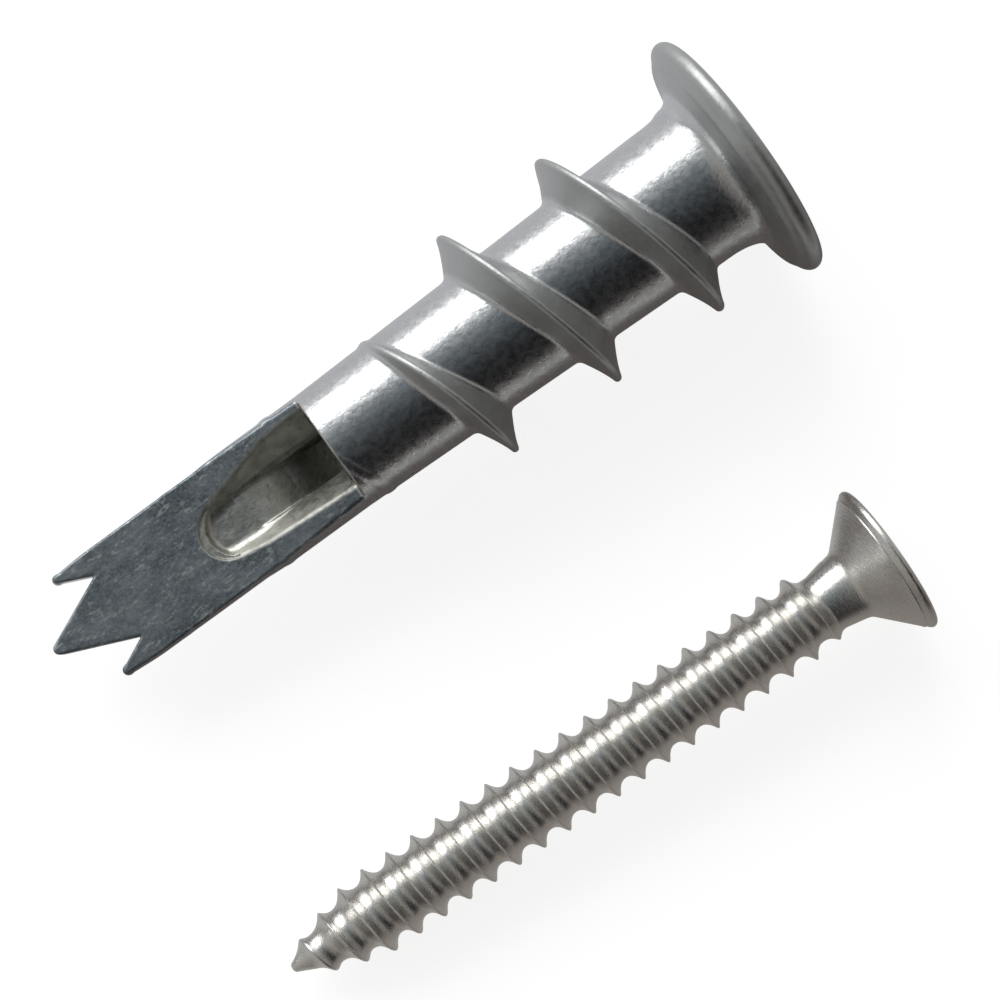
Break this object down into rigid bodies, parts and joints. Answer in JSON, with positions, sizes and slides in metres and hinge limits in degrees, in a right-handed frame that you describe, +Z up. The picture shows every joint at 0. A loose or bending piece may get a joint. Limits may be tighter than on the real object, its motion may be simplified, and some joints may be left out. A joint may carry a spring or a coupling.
{
  "type": "wall anchor",
  "caption": "Self-drilling wall anchor with a scooped three-point blade, coarse fin thread and flanged head, and the countersunk self-tapping screw that goes in it.",
  "frame": {"origin": "centre of the common footprint, on the flat surface both pieces lie on", "axes": "+X along the anchor from its blade to its head, +Y across the two pieces from the screw to the anchor, +Z up"},
  "size_m": [0.0424, 0.0312, 0.0135],
  "materials": {
    "cast_zinc": "satin",
    "bright_steel": "satin"
  },
  "bodies": {
    "anchor": {"anchor_body": "cast_zinc"},
    "screw": {"screw": "bright_steel"}
  },
  "joints": [
    {"name": "screw_travel", "type": "slide", "parent": "anchor", "child": "screw", "axis": [0.9976, -0.0287, 0.0636], "range_m": [0, 0.033]}
  ]
}
